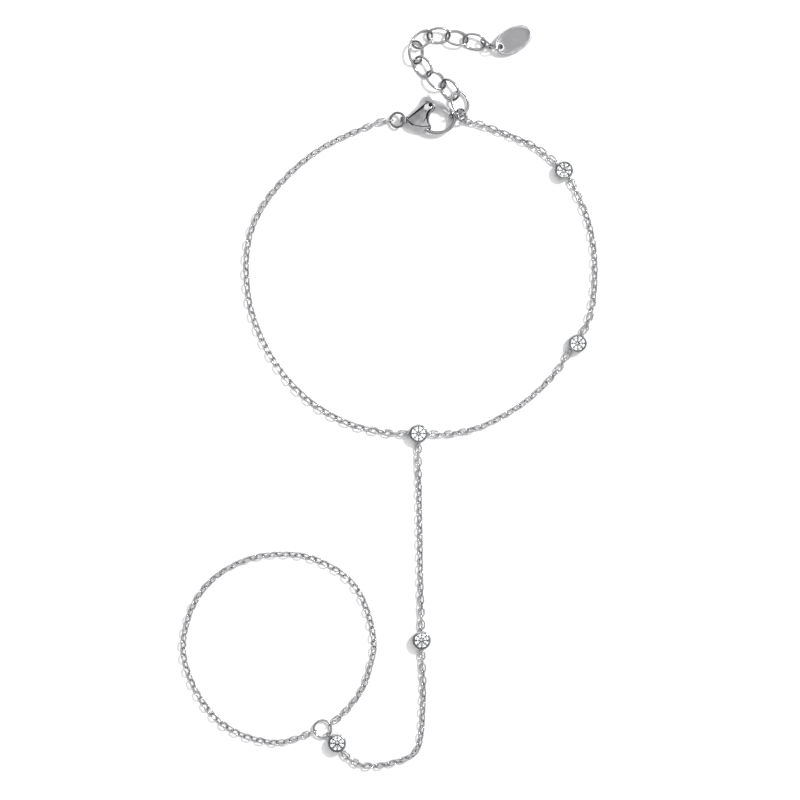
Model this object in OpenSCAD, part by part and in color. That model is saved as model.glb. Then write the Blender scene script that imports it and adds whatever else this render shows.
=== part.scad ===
// Hand chain bracelet of polished stainless steel with five round stones in plain settings.
// A fine cable chain goes round the wrist and closes with a lobster clasp and an extender.
// A finer chain runs from its front setting over the hand to a loop for the finger.
// The bracelet lies flat on z = 0. The origin is the middle of the front setting's underside.

/* [Wrist chain] */
// Length of one link of the wrist chain
wrist_link_l = 1.8; // [1.7:0.05:2.2]
// Width of one link of the wrist chain
wrist_link_w = 1.2; // [1.15:0.05:1.3]
// Thickness of the wrist chain's wire
wrist_wire = 0.26; // [0.2:0.01:0.28]

/* [Hand chain] */
// Length of one link of the hand chain
hand_link_l = 1.64; // [1.6:0.05:2]
// Width of one link of the hand chain
hand_link_w = 1.16; // [1.1:0.05:1.25]
// Thickness of the hand chain's wire
hand_wire = 0.25; // [0.2:0.01:0.27]
// Thickness of the chain that goes round the finger
finger_chain_d = 1.1; // [0.8:0.1:1.3]

/* [Stones and settings] */
// Diameter of each round stone
stone_d = 2.44; // [2.3:0.1:2.8]
// Width of the stone's flat table, as a share of the stone
stone_table = 0.56; // [0.5:0.01:0.64]
// Height of the stone above its girdle, as a share of the stone
stone_crown = 0.16; // [0.13:0.01:0.18]
// Depth of the stone below its girdle, as a share of the stone
stone_pavilion = 0.42; // [0.38:0.01:0.44]
// Thickness of the setting's wall round the stone
setting_wall = 0.22; // [0.18:0.02:0.4]
// Height of each setting
setting_h = 1.8; // [1.6:0.1:2.4]
// Wire of the small eyelets soldered to the settings
eyelet_wire = 0.25; // [0.2:0.01:0.28]

/* [Clasp] */
// Inside radius of the clasp's opening
clasp_opening_r = 1.9; // [1.8:0.05:2]
// Length from the opening's middle to the middle of the eye
clasp_eye_reach = 5.5; // [5.3:0.1:5.9]
// Radius of the clasp's plump body at the lever
clasp_body_r = 1.3; // [1.2:0.05:1.4]
// Width of the hook, seen from above
hook_w = 0.56; // [0.46:0.02:0.6]
// Height of the hook, seen from the side
hook_h = 1; // [0.8:0.05:1.1]
// Thickness of the lever
lever_t = 0.9; // [0.7:0.05:1]
// Diameter of the rivet that the lever turns on
rivet_d = 0.6; // [0.5:0.05:0.7]

/* [Rings] */
// Outside diameter of the jump ring in the clasp's eye
clasp_ring_d = 2.7; // [2.6:0.05:2.9]
// Outside diameter of the two jump rings that the hook closes on
end_ring_d = 2.6; // [2.55:0.05:2.7]
// Wire of these three jump rings
ring_wire = 0.38; // [0.32:0.02:0.42]
// Outside diameter of the jump ring at the finger loop
finger_ring_d = 3.1; // [3:0.1:3.3]
// Wire of the jump ring at the finger loop
finger_ring_wire = 0.44; // [0.36:0.02:0.5]

/* [Extender] */
// Length of one extender link
ext_link_l = 3.9; // [3.85:0.05:4.1]
// Width of one extender link
ext_link_w = 2.85; // [2.8:0.05:3]
// Wire of the extender links
ext_wire = 0.4; // [0.34:0.02:0.42]

/* [Tag] */
// Length of the oval tag
tag_l = 6.6; // [6:0.1:7.5]
// Width of the oval tag
tag_w = 4; // [3.4:0.1:4.6]
// Thickness of the tag's rim
tag_t = 0.5; // [0.4:0.05:0.6]
// Width of the tag's raised rim
tag_rim = 0.25; // [0.2:0.05:0.35]
// Depth of the tag's sunk face, on each side
tag_sunk = 0.08; // [0.04:0.02:0.14]
// Diameter of the tag's hole
tag_hole_d = 0.9; // [0.85:0.05:1]
// Outside diameter of the tag's two jump rings
tag_ring_d = 2.5; // [2.45:0.05:2.6]
// Wire of the tag's two jump rings
tag_ring_wire = 0.34; // [0.28:0.02:0.36]

/* [Hidden] */

steel = "gainsboro";
bright_steel = "whitesmoke";
dark_steel = "silver";
crystal = "aliceblue";

// Clearances
floor_gap = 0.02;
link_gap = 0.1;
eyelet_play = 0.12;
eyelet_stand_off = 0.05;
stone_gap = 0.03;
eye_play = 0.16;
lever_side_play = 0.05;
lever_tip_play = 0.06;
lever_bore_play = 0.03;
rivet_play = 0.02;
chain_end_gap = 0.15;
ghost = 0.01;

// Roundness of wires, of links and rings, and of larger round parts
wire_fn = 16;
bend_fn = 24;
ring_fn = 48;
round_fn = 72;
bulge_fn = 32;

// The chain's links lean this far to either side away from the chain's ends
chain_lean = 45;
// Length over which they turn from flat to leaning
lean_ramp = 8;

// Middles of the five settings: front, right, upper right, hand, finger
setting_at = [[0, 0], [25.4, 14.4], [23.2, 42], [0.5, -33], [-13, -49.4]];
setting_r = stone_d / 2 + stone_gap + setting_wall;
chain_z = floor_gap + max(wrist_link_w, hand_link_w) / 2;

// The setting's foot and rim, and how deep the stone sits
foot_in = 0.25;
foot_h = 0.35;
rim_bevel = 0.1;
rim_over = 0.04;
rim_lip = 0.05;
girdle_sink = 0.14;
girdle_h = 0.05;
pit_gap = 0.2;
pit_r = 0.25;

// A direction in the plane, by its angle
function dir(angle) = [cos(angle), sin(angle)];
function flat(p) = [p.x, p.y];

// Distance from a setting's middle to the middle of an eyelet's hole
function eyelet_hole(wire) = wire / 2 + eyelet_play;
function eyelet_reach(wire) = setting_r + eyelet_stand_off + eyelet_hole(wire);
function eyelet_at(i, angle, wire) = setting_at[i] + eyelet_reach(wire) * dir(angle);

// The finger ring lies level on the links that pass through it, in this direction from its setting
finger_ring_turn = 137;
finger_ring_at = eyelet_at(4, finger_ring_turn, finger_ring_wire)
    + (finger_ring_d - finger_ring_wire) / 2 * dir(finger_ring_turn);
// Directions from the finger ring's middle in which the finger chain's two ends meet it
finger_chain_turns = [194, 29];
function finger_chain_end(k) =
    finger_ring_at + (finger_ring_d / 2 + chain_end_gap) * dir(finger_chain_turns[k]);

// Directions of each setting's eyelets, as angle and wire of what it holds
eyelets = [
    [[180, wrist_wire], [0, wrist_wire], [270, hand_wire]],
    [[225, wrist_wire], [66, wrist_wire]],
    [[-52, wrist_wire], [134, wrist_wire]],
    [[90, hand_wire], [270, hand_wire]],
    [[-58, hand_wire], [finger_ring_turn, finger_ring_wire]]
];

// The clasp's opening, its eye and the ring in the eye
clasp_at = [3.2, 50.1];
clasp_z = floor_gap + clasp_body_r;
eye_r = 0.65;
eye_t = 0.9;
eye_hole_r = ring_wire / 2 + eye_play;
clasp_ring_mid = (clasp_ring_d - ring_wire) / 2;
clasp_ring_lean = asin((clasp_z - chain_z) / (2 * clasp_ring_mid));
// The ring's wire bends within the eye, so it stands this far past the middle of the hole
eye_bend = pow(eye_t / 2, 2) / clasp_ring_mid / 4;
clasp_ring_x = clasp_at.x - clasp_eye_reach + eye_bend - clasp_ring_mid * cos(clasp_ring_lean);
left_chain_end = [
    clasp_ring_x - clasp_ring_mid * cos(clasp_ring_lean) + (ring_wire + wrist_wire) / 2 + link_gap,
    clasp_at.y];

// The clasp body's bulges: place in shares of the opening's radius, radius as a share of the body's
bulges = [[-1.95, -0.39, 0.65], [-1.16, -0.53, 0.85], [-0.92, 0.92, 1]];
neck_share = 0.38;
neck_in = 0.75;
// The hook is two arcs: a wide one from the body and a narrower one to the tip
hook_at = clasp_opening_r * [0.305, 0.042];
hook_wide_r = clasp_opening_r * 1.684;
hook_root = -125;
hook_turn = -50;
hook_tip = 60;
// The lever: its rivet, its length to the tip, the round of its back and its thumb tab
pivot = clasp_opening_r * [-0.684, 1.2];
lever_reach = clasp_opening_r * 1.635;
lever_back_at = clasp_opening_r * [-0.43, 0.12];
lever_back_r = clasp_opening_r * 1.526;
lever_hub_r = 0.8;
lever_slot_r = 1.25;
tab_corners = [[-0.94, 0.76], [-0.5, 0.2], [0.42, 0.2], [0.42, 0.76], [-0.2, 1.99], [-0.34, 1.99]];
rivet_sunk = 0.05;
rivet_h = 2 * (sqrt(pow(clasp_body_r, 2)
    - pow(norm(pivot - clasp_opening_r * flat(bulges[2])), 2)) - rivet_sunk);

// Middle of the hook's outer arm, which the catch ring and all beyond it are placed from
hook_arm = clasp_at + [hook_at.x + clasp_opening_r, 0];
// Jump rings by the hook: place from the hook's arm, azimuth and lean of the ring's axis
catch_ring_place = [0.26, 0.59, -84, 74];
end_ring_place = [1.27, 0.69, 21, 52];
catch_ring_lift = 0.16;
// The back chain's last link hangs in the end ring: its end, turn about itself and lift
back_chain_end = hook_arm + [1.34, -0.12];
back_end_roll = -37;
back_end_lift = 0.16;
lift_ramp = 5;

// The extender's links, chosen along it by eye: place from the hook's arm, heading and lean
extender = [
    [0.94, 2.82, 109, 9], [-0.68, 4.85, 127, -28], [-2.88, 6.4, 137, 28], [-4.98, 8.5, 126, -27],
    [-6.08, 10.8, 91, 31], [-5.08, 12.9, 37, -26], [-2.48, 13.5, 3, 31], [0.42, 13.1, -13, -27],
    [3.22, 12.5, -13, 27]];
// The first of them hangs in the end ring, this much higher than if it lay
extender_lift = 0.43;

// The tag: its hole's place from the hook's arm, its heading, and how far its rings lift the hole
tag_hole_at = [7.34, 11.62];
tag_heading = 29;
tag_hole_rise = 0.99;
tag_hole_in = 0.8;
tag_lean = asin(tag_hole_rise / (tag_l - tag_hole_in));
tag_boss = 0.15;
// The tag's two rings: place from the hook's arm, azimuth and lean of the axis, and lift
tag_rings = [[5.17, 12.08, -126, 77, 0], [6.35, 11.62, 86, 70, 0.2]];

// Middle points of each chain's route, chosen along it by eye
left_route = [
    [-3.5, 0], [-6, 0.3], [-10, 1.2], [-13.7, 2.8], [-17.4, 5.2], [-20.6, 8.3], [-23.3, 12],
    [-25.4, 16], [-26.8, 20], [-27.4, 24], [-27.5, 28], [-26.8, 32.2], [-25, 36.1],
    [-22.4, 39.6], [-19.2, 42.8], [-15.8, 45.4], [-11.8, 47.5], [-8, 49.1], [-6.2, 49.8]];
front_route = [[3.5, -0.1], [6, 0.1], [9.8, 1], [13.5, 2.8], [17, 5], [20.2, 7.8], [22.6, 10.6]];
side_route = [[27, 17.4], [27.9, 21], [28.2, 25], [28.1, 29], [27.4, 33], [26.2, 36.6]];
back_route = [[20.6, 44.4], [18.4, 46], [15.4, 47.3], [12.4, 48.5], [9.6, 49.5]];
upper_route = [[0, -4], [0.1, -8], [0.2, -14], [0.3, -20], [0.4, -26], [0.5, -30]];
lower_route = [
    [0.6, -36.4], [0.8, -40], [0.7, -44], [0.5, -47.4], [-0.1, -50.4], [-1.6, -51.8],
    [-4, -52.6], [-6.4, -53.1], [-9, -53], [-11, -52]];
finger_route = [
    [-19.8, -48.8], [-22.4, -49.4], [-25.6, -49], [-28.8, -47.9], [-31.7, -46.1],
    [-34, -43.6], [-35.8, -40.6], [-37.1, -37.4], [-37.6, -34.2], [-37.2, -31], [-36.2, -27.9],
    [-34.6, -25.2], [-32.4, -22.9], [-29.8, -21.2], [-26.9, -20], [-23.9, -19.4], [-20.8, -19.3],
    [-17.7, -19.7], [-14.7, -20.9], [-11.9, -22.6], [-9.7, -25], [-8.3, -28], [-7.4, -31.2],
    [-7.1, -34.4], [-7.8, -37.5], [-8.8, -40.5], [-10.6, -43.2], [-12.5, -45.2]];
function between(a, route, b) = concat([a], route, [b]);

// A smooth curve through a route's points, and the way along it
curve_steps = 6;
function curve_point(a, b, c, d, t) =
    0.5 * (2 * b + (c - a) * t + (2 * a - 5 * b + 4 * c - d) * t * t
        + (3 * b - a - 3 * c + d) * t * t * t);
function curve(route) =
    let (n = len(route))
    [for (i = [0:n - 2], k = [0:curve_steps - 1])
        let (a = i > 0 ? route[i - 1] : 2 * route[0] - route[1],
             d = i < n - 2 ? route[i + 2] : 2 * route[n - 1] - route[n - 2])
        curve_point(a, route[i], route[i + 1], d, k / curve_steps),
     route[n - 1]];
function runs(points) =
    [for (i = 0, s = 0; i < len(points);
          s = s + norm(points[min(i + 1, len(points) - 1)] - points[i]), i = i + 1) s];
function table(points, at, axis) = [for (i = [0:len(points) - 1]) [at[i], points[i][axis]]];

// An oval link of round wire, flat on the XY plane with its length along X
module oval_link(length, width, wire) {
    bend = (width - wire) / 2;
    side = length - width;
    for (end = [-1, 1])
        translate([end * side / 2, 0, 0])
            rotate([0, 0, -90 * end])
                rotate_extrude(angle = 180, $fn = bend_fn)
                    translate([bend, 0]) circle(d = wire, $fn = wire_fn);
    for (y = [-bend, bend])
        translate([-side / 2, y, 0])
            rotate([0, 90, 0]) cylinder(d = wire, h = side, $fn = wire_fn);
}

// A chain along a route. Its first and last links reach round what the route's ends stand on.
// The first link lies flat. The last one lies flat or stands on edge, and may roll and rise.
module chain(route, length, width, wire, on_edge = false, lean = chain_lean, roll = 0, lift = 0) {
    points = curve(route);
    at = runs(points);
    xs = table(points, at, 0);
    ys = table(points, at, 1);
    hook_in = (length - wire) / 2;
    total = at[len(at) - 1];
    pitch = length - 2 * wire - link_gap;
    odd = on_edge ? 1 : 0;
    steps = 2 * ceil(((total - 2 * hook_in) / pitch - odd) / 2) + odd;
    step = (total - 2 * hook_in) / steps;
    for (i = [0:steps]) {
        s = hook_in + i * step;
        fore = [lookup(s + step / 2, xs), lookup(s + step / 2, ys)];
        aft = [lookup(s - step / 2, xs), lookup(s - step / 2, ys)];
        leaning = lean * min(1, min(s, total - s) / lean_ramp);
        rise = lift * max(0, 1 - (total - hook_in - s) / lift_ramp);
        z = floor_gap + (width - wire) / 2 * cos(leaning) + wire / 2 + rise;
        turn = leaning + 90 * (i % 2) + (i == steps ? roll : 0);
        translate([(fore.x + aft.x) / 2, (fore.y + aft.y) / 2, z])
            rotate([turn, 0, atan2(fore.y - aft.y, fore.x - aft.x)])
                oval_link(length, width, wire);
    }
}

module wrist_chain_left() {
    color(steel)
        chain(between(eyelet_at(0, 180, wrist_wire), left_route, left_chain_end),
            wrist_link_l, wrist_link_w, wrist_wire, on_edge = true);
}

module wrist_chain_front() {
    color(steel)
        chain(between(eyelet_at(0, 0, wrist_wire), front_route, eyelet_at(1, 225, wrist_wire)),
            wrist_link_l, wrist_link_w, wrist_wire);
}

module wrist_chain_side() {
    color(steel)
        chain(between(eyelet_at(1, 66, wrist_wire), side_route, eyelet_at(2, -52, wrist_wire)),
            wrist_link_l, wrist_link_w, wrist_wire);
}

module wrist_chain_back() {
    color(steel)
        chain(between(eyelet_at(2, 134, wrist_wire), back_route, back_chain_end),
            wrist_link_l, wrist_link_w, wrist_wire,
            lean = -chain_lean, roll = back_end_roll, lift = back_end_lift);
}

module hand_chain_upper() {
    color(steel)
        chain(between(eyelet_at(0, 270, hand_wire), upper_route, eyelet_at(3, 90, hand_wire)),
            hand_link_l, hand_link_w, hand_wire);
}

module hand_chain_lower() {
    color(steel)
        chain(between(eyelet_at(3, 270, hand_wire), lower_route, eyelet_at(4, -58, hand_wire)),
            hand_link_l, hand_link_w, hand_wire);
}

// A closed tube along a line of points, with a ring of corners at each point
module tube(points, d, sides = 8) {
    n = len(points);
    rings = [for (i = [0:n - 1])
        let (t = points[min(i + 1, n - 1)] - points[max(i - 1, 0)],
             side = [t.y, -t.x, 0] / norm([t.x, t.y]))
        for (k = [0:sides - 1])
            let (a = 360 * k / sides)
            points[i] + d / 2 * (cos(a) * side + sin(a) * [0, 0, 1])];
    walls = [for (i = [0:n - 2], k = [0:sides - 1])
        let (j = (k + 1) % sides)
        [i * sides + k, i * sides + j, (i + 1) * sides + j, (i + 1) * sides + k]];
    ends = [[for (k = [sides - 1:-1:0]) k], [for (k = [0:sides - 1]) (n - 1) * sides + k]];
    polyhedron(rings, concat(walls, ends));
}

module finger_chain() {
    z = floor_gap + finger_chain_d / 2;
    route = between(finger_chain_end(0), finger_route, finger_chain_end(1));
    color(steel) tube([for (p = route) [p.x, p.y, z]], finger_chain_d);
}

// A cup round the stone, closed underneath, with its rim turned in over the stone's girdle
module cup() {
    girdle = setting_h - girdle_sink;
    seat_r = stone_d / 2 + stone_gap;
    pit = girdle - girdle_h - stone_d * stone_pavilion - pit_gap;
    rotate_extrude($fn = round_fn)
        difference() {
            polygon([[0, 0], [setting_r - foot_in, 0], [setting_r, foot_h],
                [setting_r, setting_h - rim_bevel], [setting_r - rim_bevel, setting_h],
                [0, setting_h]]);
            polygon([[0, pit], [pit_r, pit], [seat_r, girdle - 2 * girdle_h],
                [seat_r, girdle + rim_lip], [stone_d / 2 - rim_over, setting_h],
                [stone_d / 2 - rim_over, setting_h + ghost], [0, setting_h + ghost]]);
        }
}

module eyelet(wire) {
    rotate([90, 0, 0])
        rotate_extrude($fn = bend_fn)
            translate([eyelet_hole(wire) + eyelet_wire / 2, 0]) circle(d = eyelet_wire, $fn = wire_fn);
}

module setting(i) {
    color(bright_steel)
        translate([setting_at[i].x, setting_at[i].y, 0]) {
            cup();
            for (e = eyelets[i])
                rotate([0, 0, e[0]])
                    translate([eyelet_reach(e[1]), 0, chain_z]) eyelet(e[1]);
        }
}

// A round brilliant with 8 mains. Its girdle has 16 corners, and its low facets meet on a circle.
mains = 8;
low_share = 0.25;
module brilliant() {
    half = 180 / mains;
    r = stone_d / 2;
    table_r = r * stone_table;
    crown_h = stone_d * stone_crown;
    depth = stone_d * stone_pavilion;
    star_r = (r + table_r) / 2;
    star_h = crown_h * (1 - (star_r * cos(half) - table_r) / (r - table_r));
    low_r = r * low_share;
    low_h = depth * (1 - low_r * cos(half) / r);
    // First corner of each circle: table, stars, girdle's top and bottom, low facets, point
    stars = mains;
    top = 2 * mains;
    bottom = 4 * mains;
    low = 6 * mains;
    culet = 7 * mains;
    function corner(r, angle, z) = [r * cos(angle), r * sin(angle), z];
    points = concat(
        [for (k = [0:mains - 1]) corner(table_r, 2 * half * k, crown_h)],
        [for (k = [0:mains - 1]) corner(star_r, 2 * half * k + half, star_h)],
        [for (k = [0:2 * mains - 1]) corner(r, half * k, 0)],
        [for (k = [0:2 * mains - 1]) corner(r, half * k, -girdle_h)],
        [for (k = [0:mains - 1]) corner(low_r, 2 * half * k + half, -low_h - girdle_h)],
        [[0, 0, -depth - girdle_h]]);
    faces = concat(
        [[for (k = [mains - 1:-1:0]) k]],
        [for (k = [0:mains - 1]) [k, (k + 1) % mains, stars + k]],
        [for (k = [0:mains - 1]) [k, stars + k, top + 2 * k, stars + (k + mains - 1) % mains]],
        [for (k = [0:mains - 1]) [stars + k, top + 2 * k + 1, top + 2 * k]],
        [for (k = [0:mains - 1]) [stars + k, top + (2 * k + 2) % (2 * mains), top + 2 * k + 1]],
        [for (k = [0:2 * mains - 1])
            let (j = (k + 1) % (2 * mains)) [top + k, top + j, bottom + j, bottom + k]],
        [for (k = [0:mains - 1]) [low + k, bottom + 2 * k, bottom + 2 * k + 1]],
        [for (k = [0:mains - 1]) [low + k, bottom + 2 * k + 1, bottom + (2 * k + 2) % (2 * mains)]],
        [for (k = [0:mains - 1]) [culet, low + (k + mains - 1) % mains, bottom + 2 * k, low + k]]);
    polyhedron(points, faces);
}

module stone(i) {
    color(crystal)
        translate([setting_at[i].x, setting_at[i].y, setting_h - girdle_sink])
            brilliant();
}

module on_clasp() {
    translate([clasp_at.x, clasp_at.y, clasp_z]) children();
}

module on_pivot() {
    translate([pivot.x, pivot.y, 0]) children();
}

// A disc or bore through the clasp's middle plane
module round_plate(r, h) {
    cylinder(r = r, h = h, center = true, $fn = round_fn);
}

// An arc of the hook, which starts below its middle and turns towards +X
module hook_arc(r, angle) {
    rotate([0, 0, -90])
        rotate_extrude(angle = angle, $fn = round_fn)
            translate([r, 0]) {
                square([hook_w, hook_h - hook_w], center = true);
                for (end = [-1, 1])
                    translate([0, end * (hook_h - hook_w) / 2]) circle(d = hook_w, $fn = bulge_fn);
            }
}

module hook() {
    difference() {
        translate([hook_at.x, hook_at.y, 0])
            rotate([0, 0, hook_turn + 90]) {
                hook_arc(clasp_opening_r, hook_tip - hook_turn);
                translate([0, hook_wide_r - clasp_opening_r, 0])
                    mirror([1, 0, 0]) hook_arc(hook_wide_r, hook_turn - hook_root);
            }
        on_pivot() round_plate(lever_reach + lever_tip_play, 2 * hook_h);
    }
}

module clasp_body() {
    neck = [neck_in - clasp_eye_reach, 0, 0];
    eye = [-clasp_eye_reach, 0, 0];
    through = 3 * clasp_body_r;
    color(bright_steel) on_clasp() {
        difference() {
            union() {
                hull() {
                    translate(neck) sphere(clasp_body_r * neck_share, $fn = bulge_fn);
                    for (b = bulges)
                        translate(clasp_opening_r * [b.x, b.y, 0])
                            sphere(clasp_body_r * b[2], $fn = bulge_fn);
                }
                translate(eye) rotate([90, 0, 0]) round_plate(eye_r, eye_t);
            }
            translate(eye) rotate([90, 0, 0]) round_plate(eye_hole_r, 2 * eye_t);
            round_plate(clasp_opening_r, through);
            on_pivot() {
                round_plate(lever_slot_r, lever_t + 2 * lever_side_play);
                round_plate(rivet_d / 2 + rivet_play, through);
            }
        }
        hook();
    }
}

module clasp_lever() {
    color(steel) on_clasp()
        difference() {
            union() {
                intersection() {
                    translate([lever_back_at.x, lever_back_at.y, 0])
                        round_plate(lever_back_r, lever_t);
                    on_pivot() round_plate(lever_reach, lever_t);
                    translate([pivot.x, 0, -lever_t / 2])
                        cube([lever_reach, 2 * lever_reach, lever_t]);
                }
                on_pivot() {
                    round_plate(lever_hub_r, lever_t);
                    linear_extrude(lever_t, center = true) polygon(tab_corners);
                }
            }
            round_plate(clasp_opening_r, 2 * lever_t);
            on_pivot() round_plate(rivet_d / 2 + lever_bore_play, 2 * lever_t);
        }
}

module clasp_rivet() {
    color(dark_steel) on_clasp() on_pivot() round_plate(rivet_d / 2, rivet_h);
}

// A jump ring about a point, whose axis leans from upright towards the azimuth
module jump_ring(at, azimuth, lean, d, wire) {
    translate(at)
        rotate([0, lean, azimuth])
            rotate_extrude($fn = ring_fn)
                translate([(d - wire) / 2, 0]) circle(d = wire, $fn = wire_fn);
}

// Height of a leaning ring's middle when the ring touches the surface
function lying(d, wire, lean) = floor_gap + wire / 2 + (d - wire) / 2 * sin(abs(lean));

module ring_by_hook(place, d, wire, z) {
    at = hook_arm + flat(place);
    color(dark_steel) jump_ring([at.x, at.y, z], place[2], place[3], d, wire);
}

module clasp_ring() {
    color(dark_steel)
        jump_ring([clasp_ring_x, clasp_at.y, (clasp_z + chain_z) / 2], 180, clasp_ring_lean,
            clasp_ring_d, ring_wire);
}

module catch_ring() {
    ring_by_hook(catch_ring_place, end_ring_d, ring_wire, clasp_z + catch_ring_lift);
}

module end_ring() {
    ring_by_hook(end_ring_place, end_ring_d, ring_wire,
        lying(end_ring_d, ring_wire, end_ring_place[3]));
}

module tag_ring(i) {
    ring_by_hook(tag_rings[i], tag_ring_d, tag_ring_wire,
        lying(tag_ring_d, tag_ring_wire, tag_rings[i][3]) + tag_rings[i][4]);
}

module finger_ring() {
    color(dark_steel)
        jump_ring([finger_ring_at.x, finger_ring_at.y, chain_z], 0, 0,
            finger_ring_d, finger_ring_wire);
}

module extender_link(i) {
    place = extender[i];
    at = hook_arm + flat(place);
    z = lying(ext_link_w, ext_wire, place[3]) + (i == 0 ? extender_lift : 0);
    color(steel)
        translate([at.x, at.y, z])
            rotate([place[3], 0, place[2]])
                oval_link(ext_link_l, ext_link_w, ext_wire);
}

module oval_plate(length, width, h) {
    linear_extrude(h, center = true) scale([length / width, 1]) circle(d = width, $fn = round_fn);
}

module tag() {
    hole = hook_arm + tag_hole_at;
    z = floor_gap + tag_hole_rise + tag_t / 2 * cos(tag_lean);
    color(steel)
        translate([hole.x, hole.y, z])
            rotate([0, tag_lean, tag_heading])
                difference() {
                    union() {
                        translate([tag_l / 2 - tag_hole_in, 0, 0]) difference() {
                            oval_plate(tag_l, tag_w, tag_t);
                            for (side = [-1, 1])
                                translate([0, 0, side * tag_t / 2])
                                    oval_plate(tag_l - 2 * tag_rim, tag_w - 2 * tag_rim,
                                        2 * tag_sunk);
                        }
                        round_plate(tag_hole_d / 2 + tag_boss, tag_t);
                    }
                    round_plate(tag_hole_d / 2, 2 * tag_t);
                }
}

wrist_chain_left();
wrist_chain_front();
wrist_chain_side();
wrist_chain_back();
hand_chain_upper();
hand_chain_lower();
finger_chain();
finger_ring();
for (i = [1:5]) {
    setting(i - 1);
    stone(i - 1);
}
clasp_body();
clasp_lever();
clasp_rivet();
clasp_ring();
catch_ring();
end_ring();
for (i = [1:9])
    extender_link(i - 1);
for (i = [1:2])
    tag_ring(i - 1);
tag();
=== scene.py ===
"""Looks of the hand chain bracelet: polished steel chains, clear stones and a white table."""

import math
import random

import bmesh
import bpy
from mathutils import Matrix, Vector


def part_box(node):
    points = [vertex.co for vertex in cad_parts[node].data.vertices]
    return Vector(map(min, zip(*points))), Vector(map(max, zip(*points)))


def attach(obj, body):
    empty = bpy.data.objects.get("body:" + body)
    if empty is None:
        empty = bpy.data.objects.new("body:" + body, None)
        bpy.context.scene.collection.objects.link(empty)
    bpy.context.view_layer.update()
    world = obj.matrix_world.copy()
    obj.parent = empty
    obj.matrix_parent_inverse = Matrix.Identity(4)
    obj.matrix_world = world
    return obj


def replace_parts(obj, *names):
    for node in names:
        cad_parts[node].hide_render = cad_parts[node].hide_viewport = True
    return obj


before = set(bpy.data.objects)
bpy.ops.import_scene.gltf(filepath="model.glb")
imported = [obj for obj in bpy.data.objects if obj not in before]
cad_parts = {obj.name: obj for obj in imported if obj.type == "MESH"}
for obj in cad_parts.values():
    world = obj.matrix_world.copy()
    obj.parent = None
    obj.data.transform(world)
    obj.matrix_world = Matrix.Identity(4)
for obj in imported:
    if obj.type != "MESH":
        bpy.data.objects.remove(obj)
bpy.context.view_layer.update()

bl_info = {
    "name": "Hand chain bracelet looks",
    "version": (1, 0, 0),
    "blender": (4, 5, 0),
    "location": "View3D > Sidebar > Bracelet",
    "description": "Finishes the chains, settings, stones, clasp and tag of a hand chain bracelet",
    "category": "Object",
}

MM = 0.001
BRACELET = "bracelet"
LEVER = "lever"

CHAINS = [
    "wrist_chain_left", "wrist_chain_front", "wrist_chain_side", "wrist_chain_back",
    "hand_chain_upper", "hand_chain_lower",
]
RINGS = ["catch_ring", "end_ring", "tag_ring_1", "tag_ring_2"]
STONES = [f"stone_{i}" for i in range(1, 6)]

# The finger ring's middle, outside size and wire, in mm, and the directions of the chain's two
# ends in it, in degrees
FINGER_RING_AT = (-15.333, -47.2244)
FINGER_RING_D = 3.1
FINGER_RING_WIRE = 0.32
FINGER_RING_TURNS = (194, 29)
# The finger chain's route, in mm, from the ring's left round the finger to its right
FINGER_ROUTE = [
    (-19.8, -48.8), (-22.4, -49.4), (-25.6, -49), (-28.8, -47.9), (-31.7, -46.1), (-34, -43.6),
    (-35.8, -40.6), (-37.1, -37.4), (-37.6, -34.2), (-37.2, -31), (-36.2, -27.9), (-34.6, -25.2),
    (-32.4, -22.9), (-29.8, -21.2), (-26.9, -20), (-23.9, -19.4), (-20.8, -19.3), (-17.7, -19.7),
    (-14.7, -20.9), (-11.9, -22.6), (-9.7, -25), (-8.3, -28), (-7.4, -31.2), (-7.1, -34.4),
    (-7.8, -37.5), (-8.8, -40.5), (-10.6, -43.2), (-12.5, -45.2),
]
CURVE_STEPS = 12

# How the steel's tone goes from dull to bright across its smudges
TONE_RANGE = (0.35, 0.68)
# Smudges and scratches of the steel: how fine, how detailed, and how deep in metres
SMUDGE_SCALE, SMUDGE_DETAIL, SMUDGE_ROUGHNESS = 900, 4, 0.6
SMUDGE_RANGE = (0.3, 0.7)
SCRATCH_SCALE, SCRATCH_DETAIL, SCRATCH_DEPTH = 2600, 3, 2e-6
# Dust on the stones: how fine, where it starts and ends, and the roughness that it gives
DUST_SCALE, DUST_DETAIL = 1500, 2
DUST_RANGE = (0.55, 0.8)
DUST_ROUGHNESS = 0.04
# Pieces are shaded smooth up to this angle between their faces
CREASE = math.radians(38)


# ---- Sizes and colours that a user may change ----


class ChainSizes(bpy.types.PropertyGroup):
    """Sizes of the chain round the finger."""

    link_length: bpy.props.FloatProperty(
        name="Link length", description="Outside length of one link",
        default=1.64 * MM, unit="LENGTH", subtype="DISTANCE")
    link_width: bpy.props.FloatProperty(
        name="Link width", description="Outside width of one link",
        default=1.16 * MM, unit="LENGTH", subtype="DISTANCE")
    wire: bpy.props.FloatProperty(
        name="Wire", description="Thickness of the links' wire",
        default=0.25 * MM, unit="LENGTH", subtype="DISTANCE")
    gap: bpy.props.FloatProperty(
        name="Gap", description="Play between one link's wire and the next",
        default=0.07 * MM, unit="LENGTH", subtype="DISTANCE")
    lean: bpy.props.FloatProperty(
        name="Lean", description="How far the links lean away from the chain's ends",
        default=math.radians(45), subtype="ANGLE")
    sides: bpy.props.IntProperty(
        name="Sides", description="Sides of the wire's round", default=12, min=6, max=24)


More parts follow.
